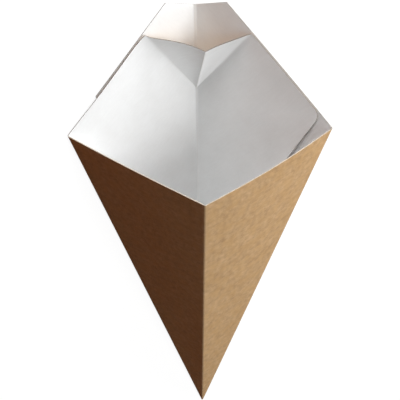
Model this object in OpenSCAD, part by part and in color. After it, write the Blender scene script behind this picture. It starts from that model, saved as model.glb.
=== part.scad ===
// Paper cone for chips, folded from one piece of board, with a dip pocket at the back.
// It lies on its back left panel: mouth towards -Y, tip towards +Y, +Z up, floor at z = 0.

/* [Board] */
// Thickness of the board
board_t = 0.5; // [0.35:0.05:0.75]

/* [Cone] */
// Angle each panel takes up at the tip of the flat blank
panel_angle = 21; // [18:0.5:23]
// Lean of the front and back creases from the axis, which sets how far the cone is opened
open_lean = 12.5; // [10:0.5:14.5]
// Length of the front crease from the tip to the straight cut of the rim
front_crease = 203; // [170:1:240]
// Width of the short top edge of the back, measured along the board
top_w = 36; // [24:1:50]
// Dip of the top edge where it meets the back crease
top_dip = 3; // [0:0.5:8]
// Height by which the tip is blunted
tip_cut = 1; // [0.6:0.1:1.5]

/* [Lapped ends] */
// Angle the outer end takes up at the tip
outer_angle = 15.5; // [10:0.5:17]
// Width of the outer end that shows beyond the edge it is glued behind
outer_show = 1; // [0.4:0.1:3]
// Distance of the inner end's side edge below the edge behind it
inner_inset = 0.8; // [0.4:0.1:3]
// Distance of the inner end's free corner from the right crease
inner_gap = 8; // [4:0.5:16]
// Angle between the inner end's free edge and the right crease
inner_cut = 11.5; // [5:0.5:20]
// Radius of the inner end's free corner
inner_round = 5; // [1:0.5:8]

/* [Dip pocket] */
// Width of the pocket's cut edge, measured along the board
pocket_w = 66; // [50:1:80]
// Distance from the cut edge down to the pocket's point, along the inner back crease
pocket_h = 33; // [24:1:40]
// Angle by which the pocket's ridge is popped forwards off the inner back crease
pop_angle = 40; // [30:1:50]
// Lean of the pocket's ridge to the right
pop_lean = 7; // [0:0.5:10]
// Bow of the pocket's two faces to the back, as a share of their reach
pocket_bow = 0.06; // [0.02:0.01:0.12]

/* [Hidden] */

kraft = [0.71, 0.53, 0.35];
// Share of the thickness that glued layers keep after pressing
press = 0.96;
// Distance between the middles of two glued layers
lap = board_t * press;
// Radius of the board's bend at a crease
fold_r = lap / 2;
// Distance by which a bend stops short of a cut edge
fold_stop = 0.2;
fold_fn = 16;
// Radius of the glue along the back crease, as a share of the layers' distance
glue_share = 0.8;
// Direction that no crease runs along
fold_side = [0.6, 0.8, 0];
// Flat strips in each bowed face of the pocket
strips = 4;
// Power that draws the bow of the pocket's faces towards the ridge
bow_skew = 0.66;
// Steps of the arc on the inner end's free corner
round_steps = 6;
// Reach of the block that blunts the tip
blunt = 2 * (tip_cut + board_t);

function unit(v) = v / norm(v);
function across(v, axis) = unit(v - axis * (v * axis));

// Creases as directions from the tip, cone upright on its axis, front towards -Y
side_lean = acos(cos(panel_angle) / cos(open_lean));
dir_f = [0, -sin(open_lean), cos(open_lean)];
dir_b = [0, sin(open_lean), cos(open_lean)];
dir_r = [sin(side_lean), 0, cos(side_lean)];
dir_l = [-sin(side_lean), 0, cos(side_lean)];

// Directions within the panels, square to the front or back crease
front_to_r = across(dir_r, dir_f);
front_to_l = across(dir_l, dir_f);
back_to_r = across(dir_r, dir_b);
back_to_l = across(dir_l, dir_b);

// Outward normals of the panels
out_fr = cross(front_to_r, dir_f);
out_fl = cross(dir_f, front_to_l);
out_br = cross(dir_b, back_to_r);
out_bl = cross(back_to_l, dir_b);

// The layers part the outer and inner back creases from the line through the tip
fold_cos = back_to_r * back_to_l;
layer_off = lap / sqrt(1 - fold_cos * fold_cos);
layer_in = layer_off * fold_cos;
glue_off = back_to_l * layer_off / 2;
glue_r = lap * glue_share;

// The blank's long cut is one straight line, square to the front crease
turn = 2 * panel_angle;
function cut_u(v, more = 0) = (front_crease + more - v * sin(turn)) / cos(turn);
function cut_v(u, more = 0) = (front_crease + more - u * cos(turn)) / sin(turn);

rim_half = front_crease * tan(panel_angle);
side_crease = front_crease / cos(panel_angle);
side_uv = side_crease * [cos(panel_angle), sin(panel_angle)];
top_uv = [cut_u(top_w / 2), top_w / 2];
outer_top_uv = [cut_u(top_w / 2, outer_show), top_w / 2];
outer_reach = (front_crease + outer_show) / cos(turn - outer_angle);
outer_uv = outer_reach * [cos(outer_angle), sin(outer_angle)];
back_crease = top_uv.x - top_dip;

// Inner end: free corner, free edge down to the inner back crease
inner_cut_at = front_crease - inner_inset;
inner_uv = [inner_cut_at + inner_gap * sin(turn) / cos(panel_angle),
            (inner_cut_at * sin(panel_angle) - inner_gap * cos(turn)) / cos(panel_angle)];
inner_slope = panel_angle + inner_cut;
inner_low = inner_uv.x - (inner_uv.y - layer_in) / tan(inner_slope);
corner_half = (90 + panel_angle - inner_cut) / 2;
corner_mid = turn - 90 - corner_half;
corner_uv = inner_uv + inner_round / sin(corner_half) * [cos(corner_mid), sin(corner_mid)];
corner_from = inner_slope + 90;
corner_to = turn;

// Pocket: cut edge, point, popped corner
pocket_cut = cut_u(pocket_w / 2);
pocket_low = pocket_cut - pocket_h;
pocket_l_uv = [pocket_cut, pocket_w / 2];
pocket_r_uv = [pocket_cut, cut_v(pocket_cut, -inner_inset)];
point_at = dir_b * pocket_low + back_to_l * layer_off;
corner_l = dir_b * pocket_l_uv.x + back_to_l * pocket_l_uv.y;
corner_r = dir_b * pocket_r_uv.x + back_to_r * pocket_r_uv.y - out_br * lap;
forward = cross([1, 0, 0], dir_b);
ridge_up = dir_b * cos(pop_angle) + forward * sin(pop_angle);
ridge_dir = ridge_up * cos(pop_lean) + [1, 0, 0] * sin(pop_lean);
corner_n = point_at + ridge_dir * pocket_h;

// Resting attitude: back left panel down, axis along Y
up = -out_bl;
row_y = -across([0, 0, 1], up);
row_x = cross(row_y, up);
rest_z = lap + board_t / 2;
corners = [tip_cut * [0, 0, 1],
           dir_f * front_crease,
           dir_r * side_crease,
           dir_l * side_crease,
           dir_b * back_crease,
           dir_b * top_uv.x + back_to_r * top_uv.y,
           dir_b * outer_top_uv.x + back_to_l * outer_top_uv.y + out_bl * lap];
xs = [for (c = corners) c * row_x];
ys = [for (c = corners) c * row_y];
rest_x = -(min(xs) + max(xs)) / 2;
rest_y = -(min(ys) + max(ys)) / 2;

module placed(x, y, z, at) {
  multmatrix([[x.x, y.x, z.x, at.x],
              [x.y, y.y, z.y, at.y],
              [x.z, y.z, z.z, at.z],
              [0, 0, 0, 1]]) children();
}

// Flat panel on the tip: u runs along a crease, v square to it, middle of the board at lift
module panel(crease, square, normal, lift, outline) {
  placed(crease, square, cross(crease, square), normal * lift)
    translate([0, 0, -board_t / 2])
      linear_extrude(board_t)
        polygon(outline);
}

// Rounded bend of the board between two panels
module fold(from, to, r = fold_r) {
  along = unit(to - from);
  side = across(fold_side, along);
  placed(side, cross(along, side), along, from)
    cylinder(r = r, h = norm(to - from) - fold_stop, $fn = fold_fn);
}

function bowed(from, to, back, s) =
  unit(from * (1 - s) + to * s + back * pocket_bow * sin(180 * pow(s, bow_skew)));

// Bowed face of the pocket, from its ridge out to a corner on the panel
module pocket_face(corner, hand) {
  dir_c = unit(corner - point_at);
  reach = norm(corner - point_at);
  back = unit(cross(ridge_dir, dir_c)) * hand;
  open = acos(pocket_h / reach);
  rays = [for (i = [0 : strips]) bowed(ridge_dir, dir_c, back, i / strips)];
  edge = [for (i = [0 : strips]) point_at + rays[i] * pocket_h / cos(open * i / strips)];
  faces_n = [for (i = [0 : strips - 1]) unit(cross(rays[i], rays[i + 1])) * hand];
  edge_n = [for (i = [0 : strips]) unit(faces_n[max(i - 1, 0)] + faces_n[min(i, strips - 1)])];
  point_n = unit(faces_n[0] + faces_n[strips - 1]);
  half = board_t / 2;
  near = concat([point_at - point_n * half], [for (i = [0 : strips]) edge[i] - edge_n[i] * half]);
  far = concat([point_at + point_n * half], [for (i = [0 : strips]) edge[i] + edge_n[i] * half]);
  n = strips + 2;
  rim = [for (i = [0 : n - 1]) [i, (i + 1) % n]];
  sheet = [for (i = [1 : strips]) [0, i, i + 1]];
  shell = concat(sheet,
                 [for (f = sheet) [f[0] + n, f[2] + n, f[1] + n]],
                 [for (e = rim) [e[0], e[0] + n, e[1] + n]],
                 [for (e = rim) [e[0], e[1] + n, e[1]]]);
  flipped = [for (f = shell) [f[0], f[2], f[1]]];
  polyhedron(points = concat(near, far), faces = hand > 0 ? shell : flipped);
}

module folded_board() {
  // Front panels
  panel(dir_f, front_to_r, out_fr, 0, [[0, 0], [front_crease, 0], [front_crease, rim_half]]);
  panel(dir_f, front_to_l, out_fl, 0, [[0, 0], [front_crease, 0], [front_crease, rim_half]]);
  // Tall back panel on the right and the outer end on the left
  panel(dir_b, back_to_r, out_br, 0,
        [[0, -layer_off], [0, 0], side_uv, top_uv, [back_crease, -layer_off]]);
  panel(dir_b, back_to_l, out_bl, lap,
        [[-layer_in / tan(outer_angle), -layer_in], outer_uv, outer_top_uv, [back_crease, -layer_in]]);
  // Inner back panel on the left and the inner end on the right
  panel(dir_b, back_to_l, out_bl, 0,
        [[layer_off / tan(panel_angle), layer_off], side_uv, pocket_l_uv, [pocket_low, layer_off]]);
  panel(dir_b, back_to_r, out_br, -lap,
        concat([[inner_low, layer_in]],
               [for (i = [0 : round_steps])
                  let (a = corner_from + (corner_to - corner_from) * i / round_steps)
                    corner_uv + inner_round * [cos(a), sin(a)]],
               [pocket_r_uv, [pocket_low, layer_in]]));
  // Creases of the cone
  fold([0, 0, 0], dir_f * front_crease);
  fold([0, 0, 0], dir_r * side_crease);
  fold([0, 0, 0], dir_l * side_crease);
  fold(-back_to_r * layer_off, dir_b * back_crease - back_to_r * layer_off);
  fold(back_to_l * layer_off, point_at);
  // Glue that closes the slit between the layers along the back crease
  fold(glue_off, dir_b * pocket_low + glue_off, glue_r);
  // Dip pocket popped out of the inner back panels
  pocket_face(corner_r, 1);
  pocket_face(corner_l, -1);
  fold(point_at, corner_l);
  fold(point_at, corner_r);
  fold(point_at, corner_n);
}

module fry_cone() {
  color(kraft)
    translate([rest_x, rest_y, rest_z])
      multmatrix([[row_x.x, row_x.y, row_x.z, 0],
                  [row_y.x, row_y.y, row_y.z, 0],
                  [up.x, up.y, up.z, 0],
                  [0, 0, 0, 1]])
        difference() {
          folded_board();
          translate([-blunt, -blunt, tip_cut - 2 * blunt])
            cube(2 * blunt);
        }
}

fry_cone();
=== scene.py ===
"""Paper cone for chips: one sheet of kraft board, white inside, folded round a tip, with a dip pocket.

The sheet is modelled in the cone's own upright frame, in millimetres: tip at the origin, axis along +Z,
front crease towards -Y. It is then laid on its back left panel, as the CAD part lies, in metres.
"""

import math

import bpy
import numpy as np
from mathutils import Matrix
from mathutils.kdtree import KDTree


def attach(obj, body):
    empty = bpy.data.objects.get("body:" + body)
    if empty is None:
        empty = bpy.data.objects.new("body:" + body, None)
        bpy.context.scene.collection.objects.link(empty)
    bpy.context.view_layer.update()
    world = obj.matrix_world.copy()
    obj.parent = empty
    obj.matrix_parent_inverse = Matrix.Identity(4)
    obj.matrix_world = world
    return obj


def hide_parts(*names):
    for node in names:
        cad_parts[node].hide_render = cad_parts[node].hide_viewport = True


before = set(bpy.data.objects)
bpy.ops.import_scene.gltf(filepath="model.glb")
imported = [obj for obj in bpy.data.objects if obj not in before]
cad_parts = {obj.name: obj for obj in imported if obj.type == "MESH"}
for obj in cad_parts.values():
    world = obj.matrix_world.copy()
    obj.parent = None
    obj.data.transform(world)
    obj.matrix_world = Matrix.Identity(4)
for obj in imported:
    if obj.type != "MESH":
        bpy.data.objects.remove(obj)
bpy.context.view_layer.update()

MM = 0.001

# Board, and the distance between the middles of two glued layers
BOARD_T = 0.46
LAP = 0.50
# Distance from the tip over which the layers and the board are pressed thin
PRESSED_TIP = 14.0

# Cone
PANEL = math.radians(21)
LEAN = math.radians(12.5)
FRONT_CREASE = 203.0
TOP_W = 36.0
TOP_DIP = 3.0
# Height by which the CAD part's tip is blunted, and distance from the tip at which the sheet begins
TIP_CUT = 1.0
TIP_START = 1.5

# Lapped ends
OUTER_ANGLE = math.radians(15.5)
OUTER_SHOW = 0.2
INNER_INSET = 0.3
INNER_GAP = 8.0
INNER_CUT = math.radians(11.5)
INNER_ROUND = 5.0

# Dip pocket
POCKET_W = 66.0
POCKET_H = 33.0
POP_ANGLE = math.radians(40)
POP_LEAN = math.radians(7)
# Bow of the pocket's two faces to the back, as a share of their reach, and the power that draws it
# towards the ridge
LEFT_BOW = 0.05
RIGHT_BOW = 0.035
POCKET_SKEW = 0.85
# Share of the pocket's opening over which its ridge is rounded, and how far of that the ridge itself sinks
RIDGE_ROUND = 0.03
RIDGE_SINK = 0.25
# Width over which the board rolls round the pocket's fold lines at the cut edge: on the panel, on the pocket
LEFT_CURL = (12.0, 3.0)
RIGHT_CURL = (2.0, 2.0)
# Share of the way from the ridge to a fold line at which the face's direction is taken for the roll
FOLD_SHARE = 0.92

# Half width of the bend at a crease, and its largest share of a panel near the tip
BEND = 0.6
BEND_SHARE = 0.12
# The back creases are scored: a narrow flat strip between two bends
SCORE = 1.5
SCORE_FLAT = 0.6

# How far the board stands off its flat panels
FRONT_RIGHT_BOW = 1.5
FRONT_LEFT_BOW = 0.5
BACK_BOW = 0.4
# Slight waves of the front panels: height, two lengths, and the two phases they start at
FRONT_RIGHT_WAVE = (0.16, 23.0, 15.0, 0.7, 0.4)
FRONT_LEFT_WAVE = (0.14, 27.0, 17.0, 2.1, 1.3)
# Lift of the inner left panel's cut edge off the outer end, and the stretch over which it begins,
# in widths of the strip beside the outer end
OUTER_GAPE = 1.0
OUTER_GAPE_START = 1.2
# Lift of the inner end's free edge, the length over which it grows, and the share that its ends keep
INNER_GAPE = 1.6
INNER_GAPE_AT = 45.0
INNER_GAPE_ENDS = 0.16
# Lift of the inner end's edge along the long cut
INNER_EDGE_GAPE = 0.1
# Distance from an edge over which its lift fades
GAPE_FADE = 14.0

# Mesh density: rows of a column, closer together at the tip and at the cut edge
LOW_ROWS = 36
HIGH_ROWS = 62
TIP_CROWD = 1.3
EDGE_ROWS = (0.985, 0.993, 0.998, 1.0)
# Rounds in which a column's end and its angle there are settled
END_ROUNDS = 6
# Columns of half a bend, of each stretch of a panel, and of each face of the pocket
BEND_STEPS = 5
OUTER_COLUMNS = 22
TOP_COLUMNS = 8
SIDE_COLUMNS = 26
FRONT_COLUMNS = 32
POCKET_COLUMNS = 14
INNER_COLUMNS = 32
POCKET_STEPS = 26
# Share by which the pocket's columns crowd towards its fold lines
POCKET_CROWD = 0.4
# Angle from which a side between two faces is shaded sharp
SHARP = math.radians(50)


def unit(v):
    return v / np.linalg.norm(v)


def across(v, axis):
    """Direction of v square to axis."""
    return unit(v - axis * np.dot(v, axis))


# Creases as directions from the tip
SIDE_LEAN = math.acos(math.cos(PANEL) / math.cos(LEAN))
DIR_F = np.array([0, -math.sin(LEAN), math.cos(LEAN)])
DIR_B = np.array([0, math.sin(LEAN), math.cos(LEAN)])
DIR_R = np.array([math.sin(SIDE_LEAN), 0, math.cos(SIDE_LEAN)])
DIR_L = np.array([-math.sin(SIDE_LEAN), 0, math.cos(SIDE_LEAN)])
FRONT_TO_R = across(DIR_R, DIR_F)
FRONT_TO_L = across(DIR_L, DIR_F)
BACK_TO_R = across(DIR_R, DIR_B)
BACK_TO_L = across(DIR_L, DIR_B)
OUT_FR = np.cross(FRONT_TO_R, DIR_F)
OUT_FL = np.cross(DIR_F, FRONT_TO_L)
OUT_BR = np.cross(DIR_B, BACK_TO_R)
OUT_BL = np.cross(BACK_TO_L, DIR_B)

# The layers part the outer and inner back creases from the line through the tip
LAYER_OFF = LAP / math.sqrt(1 - np.dot(BACK_TO_R, BACK_TO_L) ** 2)

# Outline of the flat blank; u runs along the back crease from the tip, v square to it
TURN = 2 * PANEL


def cut_u(v, more=0.0):
    return (FRONT_CREASE + more - v * math.sin(TURN)) / math.cos(TURN)


def cut_v(u, more=0.0):
    return (FRONT_CREASE + more - u * math.cos(TURN)) / math.sin(TURN)


TOP_UV = (cut_u(TOP_W / 2), TOP_W / 2)
OUTER_TOP_UV = (cut_u(TOP_W / 2, OUTER_SHOW), TOP_W / 2)
BACK_CREASE = TOP_UV[0] - TOP_DIP
INNER_AT = FRONT_CREASE - INNER_INSET
INNER_UV = (
    INNER_AT + INNER_GAP * math.sin(TURN) / math.cos(PANEL),
    (INNER_AT * math.sin(PANEL) - INNER_GAP * math.cos(TURN)) / math.cos(PANEL),
)
INNER_SLOPE = PANEL + INNER_CUT
INNER_LOW = INNER_UV[0] - INNER_UV[1] / math.tan(INNER_SLOPE)
CORNER_HALF = (math.pi / 2 + PANEL - INNER_CUT) / 2
CORNER_MID = TURN - math.pi / 2 - CORNER_HALF
CORNER_UV = (
    INNER_UV[0] + INNER_ROUND / math.sin(CORNER_HALF) * math.cos(CORNER_MID),
    INNER_UV[1] + INNER_ROUND / math.sin(CORNER_HALF) * math.sin(CORNER_MID),
)
POCKET_CUT = cut_u(POCKET_W / 2)
POCKET_LOW = POCKET_CUT - POCKET_H
POCKET_L_UV = (POCKET_CUT, POCKET_W / 2)
POCKET_R_UV = (POCKET_CUT, cut_v(POCKET_CUT, -INNER_INSET))


def angle_of(uv):
    return math.atan2(uv[1], uv[0])


def line_reach(a, b, phi):
    """Distance from the tip, at angle phi, to the line through a and b."""
    du, dv = b[0] - a[0], b[1] - a[1]
    return (a[0] * dv - a[1] * du) / (dv * np.cos(phi) - du * np.sin(phi))


def cut_reach(phi, more=0.0):
    """Distance from the tip to the blank's long straight cut, phi being measured from a back crease."""
    return (FRONT_CREASE + more) / np.cos(TURN - phi)


# The inner end's free corner is an arc; these are the angles at which the arc begins and ends
CORNER_R = math.hypot(*CORNER_UV)
CORNER_AT = angle_of(CORNER_UV)
INNER_MOST = CORNER_AT + math.asin(INNER_ROUND / CORNER_R)
ARC_LOW = angle_of((
    CORNER_UV[0] - INNER_ROUND * math.sin(INNER_SLOPE),
    CORNER_UV[1] + INNER_ROUND * math.cos(INNER_SLOPE),
))
ARC_HIGH = angle_of((
    CORNER_UV[0] + INNER_ROUND * math.cos(TURN),
    CORNER_UV[1] + INNER_ROUND * math.sin(TURN),
))


def arc_reach(phi, side):
    off = CORNER_R * np.sin(phi - CORNER_AT)
    return CORNER_R * np.cos(phi - CORNER_AT) + side * np.sqrt(np.maximum(INNER_ROUND ** 2 - off ** 2, 0))


def low_reach(panel, phi):
    """Distance from the tip at which a panel's upper rows begin."""
    if panel != "inner_right":
        return INNER_LOW
    if phi < ARC_LOW:
        return INNER_LOW * math.sin(INNER_SLOPE) / math.sin(INNER_SLOPE - phi)
    return arc_reach(phi, -1)


def top_reach(panel, phi):
    """Distance from the tip to the end of a panel, at angle phi from its back or front crease."""
    if panel in ("front_right", "front_left"):
        return FRONT_CREASE / math.cos(phi)
    if panel == "outer_left":
        if phi < angle_of(OUTER_TOP_UV):
            return line_reach((BACK_CREASE, 0), OUTER_TOP_UV, phi)
        return cut_reach(phi, OUTER_SHOW)
    if panel == "back_right":
        if phi < angle_of(TOP_UV):
            return line_reach((BACK_CREASE, 0), TOP_UV, phi)
        return cut_reach(phi)
    if panel == "inner_left":
        if phi < angle_of(POCKET_L_UV):
            return line_reach((POCKET_LOW, 0), POCKET_L_UV, phi)
        return cut_reach(phi)
    if phi < angle_of(POCKET_R_UV):
        return line_reach((POCKET_LOW, 0), POCKET_R_UV, phi)
    return cut_reach(phi, -INNER_INSET) if phi < ARC_HIGH else arc_reach(phi, 1)


# Panels: crease they are measured from, direction square to it, outward normal, layers outwards,
# and how the angle in the flat blank follows from the angle phi in the panel
PANELS = {
    "outer_left": (DIR_B, BACK_TO_L, OUT_BL, 1, lambda phi: -phi),
    "back_right": (DIR_B, BACK_TO_R, OUT_BR, 0, lambda phi: phi),
    "front_right": (DIR_F, FRONT_TO_R, OUT_FR, 0, lambda phi: TURN - phi),
    "front_left": (DIR_F, FRONT_TO_L, OUT_FL, 0, lambda phi: TURN + phi),
    "inner_left": (DIR_B, BACK_TO_L, OUT_BL, 0, lambda phi: 2 * TURN - phi),
    "inner_right": (DIR_B, BACK_TO_R, OUT_BR, -1, lambda phi: 2 * TURN + phi),
}


def pressed(r):
    return np.minimum(1, r / PRESSED_TIP)


def bend_at(r, half=BEND):
    """Half angle of the bend at a crease."""
    return np.minimum(half / r, BEND_SHARE * PANEL)


def ease(x):
    """Smooth step from 0 to 1."""
    x = np.clip(x, 0, 1)
    return x * x * (3 - 2 * x)


def wave(u, v, height, length, width, start, aside):
    """Slight waves of the board, u along its crease and v across it."""
    return height * np.sin(u / length + start) * np.sin(v / width + aside)


def swell(panel, phi, r):
    """How far the board stands outwards of its flat panel."""
    share = phi / PANEL
    middle = np.sin(math.pi * np.clip(share, 0, 1))
    reach = r / FRONT_CREASE
    u, v = r * np.cos(phi), r * np.sin(phi)
    if panel == "front_right":
        return middle * (FRONT_RIGHT_BOW * reach ** 3 + wave(u, v, *FRONT_RIGHT_WAVE))
    if panel == "front_left":
        return middle * (FRONT_LEFT_BOW * reach ** 3 + wave(u, v, *FRONT_LEFT_WAVE))
    if panel == "back_right":
        return BACK_BOW * middle * reach ** 2
    if panel == "inner_left":
        below = FRONT_CREASE - r * np.cos(TURN - phi)
        strip = (PANEL - phi) / (PANEL - OUTER_ANGLE)
        along = ease(strip / OUTER_GAPE_START) * ease(phi / OUTER_ANGLE)
        return -OUTER_GAPE * along * np.exp(-below / GAPE_FADE)
    if panel == "inner_right":
        below = INNER_AT - r * np.cos(TURN - phi)
        off = (u - INNER_LOW) * math.sin(INNER_SLOPE) - v * math.cos(INNER_SLOPE)
        down = np.hypot(u - INNER_UV[0], v - INNER_UV[1])
        length = INNER_UV[1] / math.sin(INNER_SLOPE)
        free = ease(down / INNER_GAPE_AT) * ease((length - down) / INNER_GAPE_AT)
        hold = ease(phi / angle_of(POCKET_R_UV))
        free = (INNER_GAPE_ENDS + free) / (INNER_GAPE_ENDS + 1)
        lifted = free * INNER_GAPE * np.exp(-off / GAPE_FADE)
        raised = INNER_EDGE_GAPE * np.exp(-below / GAPE_FADE)
        return BACK_BOW * middle * reach ** 2 - hold * (lifted + raised)
    return 0 * r


def place(panel, phi, r):
    """Points on the middle of the board, one row per radius."""
    crease, square, out, layer, _ = PANELS[panel]
    lift = layer * LAP * pressed(r) + swell(panel, phi, r)
    return (
        np.outer(r * np.cos(phi), crease)
        + np.outer(r * np.sin(phi), square)
        + np.outer(lift, out)
    )


def flat(theta, r):
    """The same points in the flat blank, front crease along +Y."""
    return np.column_stack([r * np.sin(theta - TURN), r * np.cos(theta - TURN)])


# Shares of the lower and the upper part of a column at which its rows lie
LOW_SHARE = np.linspace(0, 1, LOW_ROWS + 1)[:-1] ** TIP_CROWD
HIGH_SHARE = np.append(np.linspace(0, EDGE_ROWS[0], HIGH_ROWS - 2), EDGE_ROWS[1:])


def rows(panel, phi_at):
    """Radii of a column's points, from the tip to the end of the panel."""
    top = FRONT_CREASE
    for _ in range(END_ROUNDS):
        top = float(top_reach(panel, float(phi_at(top))))
    low = float(low_reach(panel, float(phi_at(INNER_LOW))))
    return np.concatenate([
        TIP_START + (INNER_LOW - TIP_START) * LOW_SHARE,
        low + (top - low) * HIGH_SHARE,
    ])


class Column:
    """One line of points from the tip to the edge: places, flat places, and whether it lies on a crease."""

    def __init__(self, points, blank, crease=False, low=True):
        self.points, self.blank, self.crease, self.low = points, blank, crease, low


def ray(panel, phi_at, low=True):
    r = rows(panel, phi_at)
    phi = phi_at(r)
    theta = PANELS[panel][4](phi)
    return Column(place(panel, phi, r), flat(theta, r), low=low)


def span(panel, start, stop, count, low=True):
    """Columns strictly between two angles, each of which may depend on the radius."""
    shares = np.arange(1, count) / count
    return [ray(panel, lambda r, q=q: start(r) * (1 - q) + stop(r) * q, low) for q in shares]


def rounded(a, b, corner, k):
    """Points across a round fold: k runs from -1 at a to 1 at b."""
    t = (k + 1) / 2
    return (1 - t) ** 2 * a + 2 * t * (1 - t) * corner + t ** 2 * b


def scored(a, b, corner, k):
    """Points across a scored fold, which has a flat strip in its middle."""
    if abs(k) > SCORE_FLAT:
        return corner + ((b if k > 0 else a) - corner) * abs(k)
    t = (k / SCORE_FLAT + 1) / 2
    return corner + SCORE_FLAT * ((a - corner) * (1 - t) + (b - corner) * t)


def bend(before, after, corner, phi_at, half=BEND, section=rounded, low_after=True):
    """Columns of the fold between two panels; corner gives the sharp crease at each radius."""
    made = []
    for k in np.linspace(-1, 1, 2 * BEND_STEPS + 1):
        side = before if k <= 0 else after
        r = rows(side, lambda r: phi_at(abs(k) * bend_at(r, half)))
        edge = phi_at(bend_at(r, half))
        points = section(place(before, edge, r), place(after, edge, r), corner(r), k)
        theta = PANELS[side][4](phi_at(abs(k) * bend_at(r, half)))
        in_middle = abs(k) < 0.5 / BEND_STEPS
        made.append(Column(points, flat(theta, r), crease=in_middle, low=low_after or k <= 0))
    return made


def fixed(phi):
    return lambda r: phi + 0 * r


def near_front(r):
    return bend_at(r)


def near_back(r):
    return bend_at(r, SCORE)


def near_side(r):
    return PANEL - bend_at(r)


def from_crease(phi):
    return phi


def from_side(phi):
    return PANEL - phi


def outer_back(r):
    return np.outer(r, DIR_B) - np.outer(LAYER_OFF * pressed(r), BACK_TO_R)


def inner_back(r):
    return np.outer(r, DIR_B) + np.outer(LAYER_OFF * pressed(r), BACK_TO_L)


def key(panel, uv, low=True):
    """The column that ends on a corner of the outline."""
    return [ray(panel, fixed(angle_of(uv)), low)]


def blank_columns():
    """All columns of the blank, from the outer end round to the inner end."""
    top_l, top_r = fixed(angle_of(OUTER_TOP_UV)), fixed(angle_of(TOP_UV))
    pocket_l, pocket_r = fixed(angle_of(POCKET_L_UV)), fixed(angle_of(POCKET_R_UV))
    columns = [ray("outer_left", fixed(OUTER_ANGLE))]
    columns += span("outer_left", fixed(OUTER_ANGLE), top_l, OUTER_COLUMNS)
    columns += key("outer_left", OUTER_TOP_UV)
    columns += span("outer_left", top_l, near_back, TOP_COLUMNS)
    columns += bend("outer_left", "back_right", outer_back, from_crease, SCORE, scored)
    columns += span("back_right", near_back, top_r, TOP_COLUMNS)
    columns += key("back_right", TOP_UV)
    columns += span("back_right", top_r, near_side, SIDE_COLUMNS)
    columns += bend("back_right", "front_right", lambda r: np.outer(r, DIR_R), from_side)
    columns += span("front_right", near_side, near_front, FRONT_COLUMNS)
    columns += bend("front_right", "front_left", lambda r: np.outer(r, DIR_F), from_crease)
    columns += span("front_left", near_front, near_side, FRONT_COLUMNS)
    columns += bend("front_left", "inner_left", lambda r: np.outer(r, DIR_L), from_side)
    columns += span("inner_left", near_side, pocket_l, SIDE_COLUMNS)
    left_key = len(columns)
    columns += key("inner_left", POCKET_L_UV)
    columns += span("inner_left", pocket_l, near_back, POCKET_COLUMNS)
    point = len(columns) + BEND_STEPS
    columns += bend("inner_left", "inner_right", inner_back, from_crease, SCORE, scored, low_after=False)
    columns += span("inner_right", near_back, pocket_r, POCKET_COLUMNS, low=False)
    right_key = len(columns)
    columns += key("inner_right", POCKET_R_UV, low=False)
    last = angle_of(POCKET_R_UV)
    for q in np.arange(1, INNER_COLUMNS + 1) / INNER_COLUMNS:
        phi = last + (INNER_MOST - last) * math.sin(q * math.pi / 2)
        columns.append(ray("inner_right", fixed(phi), low=False))
    return columns, left_key, point, right_key


class Sheet:
    """Middle surface of the board: points, their places in the flat blank, faces and crease points."""

    def __init__(self):
        self.points, self.blank, self.faces, self.creases = [], [], [], []

    def add(self, point, blank, crease=False):
        self.points.append(point)
        self.blank.append(blank)
        if crease:
            self.creases.append(len(self.points) - 1)
        return len(self.points) - 1

    def skin(self, ids):
        """Faces over a grid of point numbers, given column by column; kraft side outwards."""
        for left, right in zip(ids, ids[1:]):
            for i in range(len(left) - 1):
                face = [left[i], left[i + 1], right[i + 1], right[i]]
                if None in face:
                    continue
                face = list(dict.fromkeys(face))
                if len(face) > 2:
                    self.faces.append(face)


def fold_blank(sheet):
    """The cone without the pocket.

    Returns the pocket's two fold lines as point numbers, from the pocket's point outwards.
    """
    columns, left_key, point, right_key = blank_columns()
    ids = []
    for number, column in enumerate(columns):
        line = []
        for i in range(len(column.points)):
            if not column.low and i < LOW_ROWS:
                line.append(None)
            elif number == len(columns) - 1 and i > LOW_ROWS:
                line.append(line[-1])
            else:
                line.append(sheet.add(column.points[i], column.blank[i], column.crease))
        ids.append(line)
    sheet.skin(ids)
    left = [line[-1] for line in ids[point:left_key - 1:-1]]
    right = [line[-1] for line in ids[point:right_key + 1]]
    sheet.creases += left + right
    return left, right


def bowed(ridge, rim, back, share):
    """Direction from the pocket's point into a face, at a share of the way from the ridge to the rim."""
    return unit(ridge * (1 - share) + rim * share + back * math.sin(math.pi * share ** POCKET_SKEW))


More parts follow.
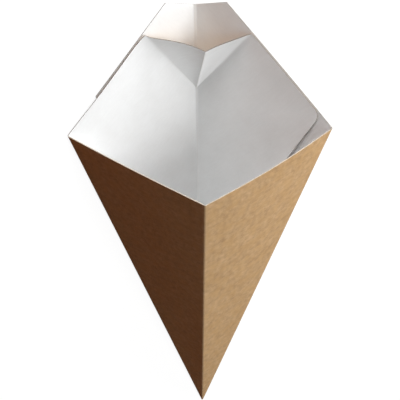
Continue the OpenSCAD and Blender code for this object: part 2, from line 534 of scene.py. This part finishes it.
def pop_pocket(sheet, left, right):
    """The pocket's two bowed faces, popped forwards off the inner back crease."""
    forward = np.cross([1, 0, 0], DIR_B)
    ridge_up = DIR_B * math.cos(POP_ANGLE) + forward * math.sin(POP_ANGLE)
    ridge = ridge_up * math.cos(POP_LEAN) + np.array([1, 0, 0]) * math.sin(POP_LEAN)
    start = sheet.points[left[0]]
    start_flat = np.array(sheet.blank[left[0]])
    along = unit(start_flat)
    aside = np.array([along[1], -along[0]])
    count = len(left)

    def face(line, hand, bow):
        """Columns from the ridge to the fold line, with what the roll round that line needs."""
        rim = sheet.points[line[-1]] - start
        reach = np.linalg.norm(rim)
        rim = rim / reach
        back = unit(np.cross(ridge, rim)) * hand * bow
        opening = math.acos(POCKET_H / reach)
        flat_opening = math.acos(np.dot(unit(np.array(sheet.blank[line[-1]]) - start_flat), along))
        shares = [np.linalg.norm(sheet.points[i] - start) / reach for i in line]
        even = np.linspace(0, 1, POCKET_STEPS + 1)
        steps = POCKET_CROWD * np.sin(even * math.pi / 2) + (1 - POCKET_CROWD) * even
        made = []
        for s in steps[:-1]:
            direction = bowed(ridge, rim, back, s)
            if s < RIDGE_ROUND:
                direction = unit(direction + (bowed(ridge, rim, back, RIDGE_ROUND) - ridge) * RIDGE_SINK)
            far = POCKET_H / math.cos(opening * s)
            turn = flat_opening * s * hand
            heading = along * math.cos(turn) + aside * math.sin(turn)
            column = []
            for i in range(count):
                t = shares[i]
                strays = sheet.points[line[i]] - (start + rim * reach * t)
                column.append((start + direction * far * t + strays * s, start_flat + heading * far * t))
            made.append(column)
        beside = bowed(ridge, rim, back, FOLD_SHARE)
        squeeze = math.acos(np.dot(beside, rim)) / (flat_opening * (1 - FOLD_SHARE))
        return made, beside, squeeze

    left_face, *left_way = face(left, -1, LEFT_BOW)
    right_face, *right_way = face(right, 1, RIGHT_BOW)
    ids = [list(left)]
    for column in left_face[:0:-1]:
        ids.append([left[0]] + [sheet.add(*p) for p in column[1:]])
    middle = []
    for (a, flat_a), (b, _) in list(zip(left_face[0], right_face[0]))[1:]:
        middle.append(sheet.add((a + b) / 2, flat_a, crease=True))
    ids.append([left[0]] + middle)
    for column in right_face[1:]:
        ids.append([left[0]] + [sheet.add(*p) for p in column[1:]])
    ids.append(list(right))
    sheet.skin(ids)
    curl_fold(sheet, left, *left_way, LEFT_CURL)
    curl_fold(sheet, right, *right_way, RIGHT_CURL)


def curl_fold(sheet, line, face_way, squeeze, curl):
    """Rolls the board round one of the pocket's fold lines, more widely towards the cut edge.

    Distances from the line are taken in the flat blank; squeeze fits those on the pocket's side to its bow.
    """
    start, end = np.array(sheet.points[line[0]]), np.array(sheet.points[line[-1]])
    along = unit(end - start)
    on_face, on_panel = across(face_way, along), across(-start, along)
    flat_start, flat_end = np.array(sheet.blank[line[0]]), np.array(sheet.blank[line[-1]])
    flat_along = unit(flat_end - flat_start)
    flat_off = np.array(sheet.blank) - flat_start
    far = flat_off @ flat_along / np.linalg.norm(flat_end - flat_start)
    beside = flat_off @ across(flat_start, flat_along)
    beside = np.where(beside > 0, beside * squeeze, beside)
    for i in np.flatnonzero(far > 0):
        wide = np.array(curl) * min(far[i], 1)
        if -wide[0] < beside[i] < wide[1]:
            s = (beside[i] + wide[0]) / wide.sum()
            rolled = on_panel * wide[0] * (1 - s) ** 2 + on_face * wide[1] * s ** 2
            sharp = on_face * beside[i] if beside[i] > 0 else -on_panel * beside[i]
            sheet.points[i] = sheet.points[i] + rolled - sharp


def rest_frame():
    """Turn and shift from the cone's frame to the row frame, as the CAD part lies."""
    up = -OUT_BL
    row_y = -across(np.array([0.0, 0.0, 1.0]), up)
    turn = np.array([np.cross(row_y, up), row_y, up])
    side = FRONT_CREASE / math.cos(PANEL)
    corners = np.array([
        [0, 0, TIP_CUT],
        DIR_F * FRONT_CREASE,
        DIR_R * side,
        DIR_L * side,
        DIR_B * BACK_CREASE,
        DIR_B * TOP_UV[0] + BACK_TO_R * TOP_UV[1],
        DIR_B * OUTER_TOP_UV[0] + BACK_TO_L * OUTER_TOP_UV[1] + OUT_BL * LAP,
    ]) @ turn.T
    middle = (corners.min(0) + corners.max(0)) / 2
    return turn, np.array([-middle[0], -middle[1], LAP + BOARD_T / 2])


REST_TURN, REST_SHIFT = rest_frame()


def to_row(points):
    return (np.asarray(points) @ REST_TURN.T + REST_SHIFT) * MM


def nearest(blank, targets):
    """Distance in the flat blank from each point to the nearest target point."""
    tree = KDTree(len(targets))
    for i, t in enumerate(targets):
        tree.insert((blank[t][0], blank[t][1], 0), i)
    tree.balance()
    return np.array([tree.find((x, y, 0))[2] for x, y in blank])


# Order of the board's materials
KRAFT_SIDE, WHITE_SIDE, CUT_SIDE = range(3)


def thicken(sheet, name, materials):
    """Mesh of the board: kraft outside, white inside, cut edges between them."""
    points, blank = np.array(sheet.points), np.array(sheet.blank)
    normals = np.zeros_like(points)
    sides = {}
    for face in sheet.faces:
        corners = points[face]
        area = np.cross(corners[1] - corners[0], corners[2] - corners[0])
        if len(face) == 4:
            area = np.cross(corners[2] - corners[0], corners[3] - corners[1])
        normals[face] += area
        for a, b in zip(face, face[1:] + face[:1]):
            sides[a, b] = True
    normals /= np.linalg.norm(normals, axis=1)[:, None]
    half = BOARD_T / 2 * pressed(np.linalg.norm(points, axis=1))[:, None]
    count = len(points)
    rim = [(a, b) for a, b in sides if (b, a) not in sides]
    faces = [list(f) for f in sheet.faces]
    faces += [[i + count for i in reversed(f)] for f in sheet.faces]
    faces += [[b, a, a + count, b + count] for a, b in rim]
    kinds = [KRAFT_SIDE] * len(sheet.faces) + [WHITE_SIDE] * len(sheet.faces) + [CUT_SIDE] * len(rim)

    mesh = bpy.data.meshes.new(name)
    mesh.from_pydata(to_row(np.vstack([points + normals * half, points - normals * half])), [], faces)
    mesh.polygons.foreach_set("material_index", kinds)
    for m in materials:
        mesh.materials.append(m)

    edge = nearest(blank, sorted({i for pair in rim for i in pair}))
    crease = nearest(blank, sorted(set(sheet.creases)))
    layers = {
        "blank": ("FLOAT_VECTOR", "vector", np.column_stack([blank * MM, 0 * edge])),
        "edge_mm": ("FLOAT", "value", edge),
        "crease_mm": ("FLOAT", "value", crease),
    }
    for label, (kind, field, values) in layers.items():
        attribute = mesh.attributes.new(label, kind, "POINT")
        attribute.data.foreach_set(field, np.concatenate([values, values]).ravel())
    mesh.update()
    mesh.shade_smooth()
    mesh.set_sharp_from_angle(angle=SHARP)
    piece = bpy.data.objects.new(name, mesh)
    bpy.context.scene.collection.objects.link(piece)
    return piece


# Outputs of an Attribute node
ATTRIBUTE_VECTOR, ATTRIBUTE_VALUE = 1, 2


class Nodes:
    """The node tree of a material or of the world, built with short calls."""

    def __init__(self, owner):
        owner.use_nodes = True
        self.owner, self.tree = owner, owner.node_tree
        self.tree.nodes.clear()

    def add(self, kind, out=0, sets=None, **inputs):
        """One node; an input is given by its name, or by its number as i0, i1 and so on."""
        node = self.tree.nodes.new(kind)
        for label, value in (sets or {}).items():
            setattr(node, label, value)
        for label, value in inputs.items():
            numbered = label[1:].isdigit()
            socket = node.inputs[int(label[1:]) if numbered else label.replace("_", " ")]
            if isinstance(value, bpy.types.NodeSocket):
                self.tree.links.new(value, socket)
            else:
                socket.default_value = value
        return None if out is None else node.outputs[out]

    def attribute(self, name, out):
        return self.add("ShaderNodeAttribute", out, {"attribute_name": name})

    def noise(self, where, scale=1.0, detail=2.0, rough=0.55):
        return self.add("ShaderNodeTexNoise", 0, Vector=where, Scale=scale, Detail=detail, Roughness=rough)

    def stretched(self, where, turn, scale):
        turned = (0, 0, math.radians(turn))
        return self.add("ShaderNodeMapping", Vector=where, Rotation=turned, Scale=scale)

    def math(self, operation, a, b=0.0):
        return self.add("ShaderNodeMath", 0, {"operation": operation}, i0=a, i1=b)

    def blend(self, *parts):
        """Sum of values, each given with its weight."""
        total, *others = [self.math("MULTIPLY", value, weight) for value, weight in parts]
        for other in others:
            total = self.math("ADD", total, other)
        return total

    def above(self, value, low, high, most):
        """0 where a value is under low, rising to most where it is over high."""
        return self.remap(value, low, high, 0.0, most)

    def near(self, name, low, high):
        """1 up to the distance low from a line of the blank, 0 from the distance high."""
        return self.remap(self.attribute(name, ATTRIBUTE_VALUE), low, high, 1.0, 0.0)

    def remap(self, value, low, high, to_low=0.0, to_high=1.0):
        return self.add("ShaderNodeMapRange", 0, None, i0=value, i1=low, i2=high, i3=to_low, i4=to_high)

    def ramp(self, value, *stops):
        node = self.tree.nodes.new("ShaderNodeValToRGB")
        elements = node.color_ramp.elements
        while len(elements) < len(stops):
            elements.new(0.5)
        for element, (position, colour) in zip(elements, stops):
            element.position = position
            element.color = (*colour, 1)
        self.tree.links.new(value, node.inputs[0])
        return node.outputs[0]

    def mix(self, share, a, b):
        node = self.tree.nodes.new("ShaderNodeMix")
        node.data_type = "RGBA"
        for socket, value in ((node.inputs[0], share), (node.inputs[6], a), (node.inputs[7], b)):
            if isinstance(value, bpy.types.NodeSocket):
                self.tree.links.new(value, socket)
            else:
                socket.default_value = (*value, 1) if isinstance(value, tuple) else value
        return node.outputs[2]

    def bump(self, height, strength, distance):
        return self.add("ShaderNodeBump", 0, None, Height=height, Strength=strength, Distance=distance)

    def finish(self, shader, output="ShaderNodeOutputMaterial"):
        self.add(output, None, Surface=shader)
        return self.owner


# Colours are linear. Kraft side: mottled from dark to pale, warmer in patches, with single pale and dark
# fibres, and paler where a fold is rubbed or an edge is frayed
KRAFT_DARK = (0.46, 0.290, 0.145)
KRAFT_MID = (0.56, 0.365, 0.195)
KRAFT_PALE = (0.66, 0.445, 0.250)
KRAFT_WARM = (0.60, 0.37, 0.165)
FIBRE_PALE = (0.68, 0.49, 0.30)
FIBRE_DARK = (0.32, 0.19, 0.095)
KRAFT_RUBBED = (0.64, 0.46, 0.29)
KRAFT_FRAYED = (0.66, 0.50, 0.33)
# White side
COAT_DULL = (0.788, 0.796, 0.795)
COAT_CLEAN = (0.836, 0.848, 0.850)
COAT_CRACKED = (0.66, 0.62, 0.56)
# Cut edge: pale core fibres at the front rim; beyond the side creases of the blank it is painted dark grey,
# as painted shade
CORE_DULL = (0.46, 0.42, 0.35)
CORE_PALE = (0.60, 0.55, 0.47)
PAINTED_SHADE_DARK = (0.175, 0.158, 0.138)
PAINTED_SHADE_LIGHT = (0.28, 0.255, 0.225)
PAINTED_SHADE_FROM = (0.074, 0.082)
# Depth of the board's bump, in metres
BUMP_DEPTH = 0.0002


def matt(n, colour, rough, height, relief, gloss):
    """Finishes a material of the board."""
    return n.finish(n.add(
        "ShaderNodeBsdfPrincipled",
        Base_Color=colour,
        Roughness=rough,
        Normal=n.bump(height, relief, BUMP_DEPTH),
        Specular_IOR_Level=gloss,
    ))


def kraft():
    """Unbleached brown fibre: soft mottling, short light and dark fibres, paler along folds and edges."""
    n = Nodes(bpy.data.materials.new("kraft_fibre"))
    where = n.attribute("blank", ATTRIBUTE_VECTOR)
    mottle = n.noise(where, scale=330.0, detail=4.0, rough=0.6)
    cloud = n.noise(where, scale=62.0)
    grain = n.noise(where, scale=1500.0, detail=3.0, rough=0.65)
    warmth = n.noise(where, scale=150.0, detail=3.0, rough=0.6)
    fibre_a = n.noise(n.stretched(where, turn=24, scale=(300, 1500, 1)))
    fibre_b = n.noise(n.stretched(where, turn=-38, scale=(340, 1700, 1)))
    tone = n.blend((mottle, 0.5), (cloud, 0.2), (fibre_a, 0.18), (grain, 0.12))
    colour = n.ramp(tone, (0.38, KRAFT_DARK), (0.5, KRAFT_MID), (0.62, KRAFT_PALE))
    colour = n.mix(n.above(warmth, 0.42, 0.62, most=0.45), colour, KRAFT_WARM)
    colour = n.mix(n.above(fibre_a, 0.64, 0.74, most=0.5), colour, FIBRE_PALE)
    colour = n.mix(n.above(fibre_b, 0.65, 0.75, most=0.5), colour, FIBRE_DARK)
    rubbed = n.math("MULTIPLY", n.near("crease_mm", 0.1, 1.3), mottle)
    colour = n.mix(n.math("MULTIPLY", rubbed, 0.55), colour, KRAFT_RUBBED)
    frayed = n.math("MULTIPLY", n.near("edge_mm", 0.0, 0.8), mottle)
    colour = n.mix(n.math("MULTIPLY", frayed, 0.6), colour, KRAFT_FRAYED)
    rough = n.remap(mottle, 0.3, 0.7, to_low=0.78, to_high=0.92)
    height = n.blend((grain, 1.0), (fibre_a, 0.7), (mottle, 0.8))
    return matt(n, colour, rough, height, relief=0.12, gloss=0.10)


def white_coat():
    """Matt white coating over the board, faintly uneven, cracked a little along the folds."""
    n = Nodes(bpy.data.materials.new("white_coat"))
    where = n.attribute("blank", ATTRIBUTE_VECTOR)
    cloud = n.noise(where, scale=90.0, detail=3.0)
    pore = n.noise(where, scale=900.0, detail=3.0, rough=0.6)
    fibre = n.noise(n.stretched(where, turn=18, scale=(180, 900, 1)))
    tone = n.blend((cloud, 0.5), (fibre, 0.3), (pore, 0.2))
    colour = n.ramp(tone, (0.35, COAT_DULL), (0.65, COAT_CLEAN))
    crack = n.math("MULTIPLY", n.near("crease_mm", 0.0, 0.5), pore)
    colour = n.mix(n.math("MULTIPLY", crack, 0.5), colour, COAT_CRACKED)
    rough = n.remap(cloud, 0.3, 0.7, to_low=0.45, to_high=0.56)
    height = n.blend((pore, 1.0), (fibre, 0.8))
    return matt(n, colour, rough, height, relief=0.06, gloss=0.3)


def cut_edge():
    """Cut edge of the board: core fibres, pale at the front rim, and greyer on the lapped ends through
    painted shade.
    """
    n = Nodes(bpy.data.materials.new("cut_edge"))
    where = n.attribute("blank", ATTRIBUTE_VECTOR)
    core = n.noise(where, scale=700.0, detail=4.0, rough=0.7)
    colour = n.ramp(core, (0.35, CORE_DULL), (0.65, CORE_PALE))
    # Painted shade: cut edges far aside of the front crease, on the lapped ends and back, are painted dark
    # grey
    painted_shade = n.ramp(core, (0.35, PAINTED_SHADE_DARK), (0.65, PAINTED_SHADE_LIGHT))
    aside = n.math("ABSOLUTE", n.add("ShaderNodeSeparateXYZ", Vector=where))
    colour = n.mix(n.remap(aside, *PAINTED_SHADE_FROM), colour, painted_shade)
    rough = n.remap(core, 0.3, 0.7, to_low=0.80, to_high=0.95)
    return matt(n, colour, rough, core, relief=0.3, gloss=0.10)


def shown_directly(n):
    """1 for rays that show a surface directly, in a mirror or through glass."""
    path = n.tree.nodes.new("ShaderNodeLightPath")
    seen = n.math("MAXIMUM", path.outputs["Is Camera Ray"], path.outputs["Is Glossy Ray"])
    return n.math("MAXIMUM", seen, path.outputs["Is Transmission Ray"])


WHITE = (1, 1, 1, 1)
# Floor, in metres: it is seen as white, a little dimmer round the object, and throws weak warm light back
FLOOR_SIZE = 6.0
FLOOR_FADE = (0.4, 1.6)
FLOOR_GLOW = (0.92, 1.0)
FLOOR_SHADE = (0.12, 0.12, 0.12, 1)
FLOOR_BOUNCE = (0.27, 0.072, 0.008, 1)
# Light of the room on the object
ROOM_LIGHT = (0.008, 0.005, 0.002, 1)


def floor_white():
    """White floor that keeps the object's shadow and throws little light back on it."""
    n = Nodes(bpy.data.materials.new("floor_white"))
    spot = n.add("ShaderNodeNewGeometry")
    away = n.add("ShaderNodeVectorMath", 1, {"operation": "LENGTH"}, i0=spot)
    glow = n.add("ShaderNodeEmission", Color=WHITE, Strength=n.remap(away, *FLOOR_FADE, *FLOOR_GLOW))
    shaded = n.add("ShaderNodeBsdfDiffuse", Color=FLOOR_SHADE)
    seen = n.add("ShaderNodeAddShader", i0=glow, i1=shaded)
    bounced = n.add("ShaderNodeBsdfDiffuse", Color=FLOOR_BOUNCE)
    return n.finish(n.add("ShaderNodeMixShader", i0=shown_directly(n), i1=bounced, i2=seen))


def make_floor():
    mesh = bpy.data.meshes.new("floor")
    h = FLOOR_SIZE / 2
    mesh.from_pydata([(-h, -h, 0), (h, -h, 0), (h, h, 0), (-h, h, 0)], [], [(0, 1, 2, 3)])
    mesh.materials.append(floor_white())
    floor = bpy.data.objects.new("floor", mesh)
    bpy.context.scene.collection.objects.link(floor)


def make_world():
    """Room that is seen as white and lights the object very weakly, so that the lamps do the lighting."""
    n = Nodes(bpy.data.worlds.new("room"))
    dim = n.add("ShaderNodeBackground", Color=ROOM_LIGHT)
    white = n.add("ShaderNodeBackground", Color=WHITE)
    both = n.add("ShaderNodeMixShader", i0=shown_directly(n), i1=dim, i2=white)
    bpy.context.scene.world = n.finish(both, "ShaderNodeOutputWorld")


def aimed(right, up, back, position):
    """Placement of a camera or lamp that looks along -back."""
    m = np.eye(4)
    m[:3, 0], m[:3, 1], m[:3, 2], m[:3, 3] = right, up, back, position
    return Matrix(m.tolist())


# Soft square lamps round a point in the mouth: direction, size in metres, power in watts
LAMP_AIM = np.array([0.0, -0.06, 0.03])
LAMP_DISTANCE = 0.80
LAMPS = {
    "top": ((-0.19, -0.12, 0.974), 0.30, 2.9),
    "top_front": ((-0.24, 0.20, 0.95), 0.28, 1.7),
    "right": ((-0.95, 0.0, 0.30), 0.60, 4.8),
    "right_mouth": ((-0.69, -0.69, 0.20), 0.40, 3.8),
    "mouth": ((0.05, -0.96, 0.27), 0.40, 4.55),
}


def make_lamp(name, toward, size, power):
    back = unit(np.array(toward))
    right = unit(np.cross([0.0, 1.0, 0.0], back))
    lamp = bpy.data.lights.new(name, "AREA")
    lamp.shape = "SQUARE"
    lamp.size = size
    lamp.energy = power
    holder = bpy.data.objects.new(name, lamp)
    holder.matrix_world = aimed(right, np.cross(back, right), back, LAMP_AIM + back * LAMP_DISTANCE)
    bpy.context.scene.collection.objects.link(holder)


# Camera over the front crease of the upright cone; distance, shifts and aim in lengths of a side crease,
# lens and sensor in millimetres, clip in metres
CAMERA_ELEVATION = math.radians(38.974)
CAMERA_AZIMUTH = math.radians(-2.258)
CAMERA_ROLL = math.radians(-0.415)
CAMERA_DISTANCE = 1.927
CAMERA_ASIDE = -0.003
CAMERA_RISE = 0.049
CAMERA_AIM = 0.7
CAMERA_LENS = 72.0
CAMERA_SENSOR = 36.0
CAMERA_CLIP = 0.01


def make_camera():
    e, a, roll = CAMERA_ELEVATION, CAMERA_AZIMUTH, CAMERA_ROLL
    back = np.array([math.sin(a) * math.cos(e), -math.cos(a) * math.cos(e), math.sin(e)])
    level = unit(np.cross([0, 0, 1], back))
    rise = np.cross(back, level)
    right = level * math.cos(roll) + rise * math.sin(roll)
    up = rise * math.cos(roll) - level * math.sin(roll)
    side = FRONT_CREASE / math.cos(PANEL)
    stand = np.array([0, 0, CAMERA_AIM]) + back * CAMERA_DISTANCE
    stand = stand + right * CAMERA_ASIDE + up * CAMERA_RISE
    data = bpy.data.cameras.new("camera")
    data.sensor_width = CAMERA_SENSOR
    data.lens = CAMERA_LENS
    data.clip_start = CAMERA_CLIP
    camera = bpy.data.objects.new("camera", data)
    axes = [REST_TURN @ axis for axis in (right, up, back)]
    camera.matrix_world = aimed(*axes, to_row([stand * side])[0])
    bpy.context.scene.collection.objects.link(camera)
    bpy.context.scene.camera = camera


sheet = Sheet()
pop_pocket(sheet, *fold_blank(sheet))
board = thicken(sheet, "folded_board", [kraft(), white_coat(), cut_edge()])
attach(board, "root")
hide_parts("fry_cone")

make_floor()
make_world()
for name, lamp in LAMPS.items():
    make_lamp(name, *lamp)
make_camera()
bpy.context.scene.view_settings.view_transform = "Standard"
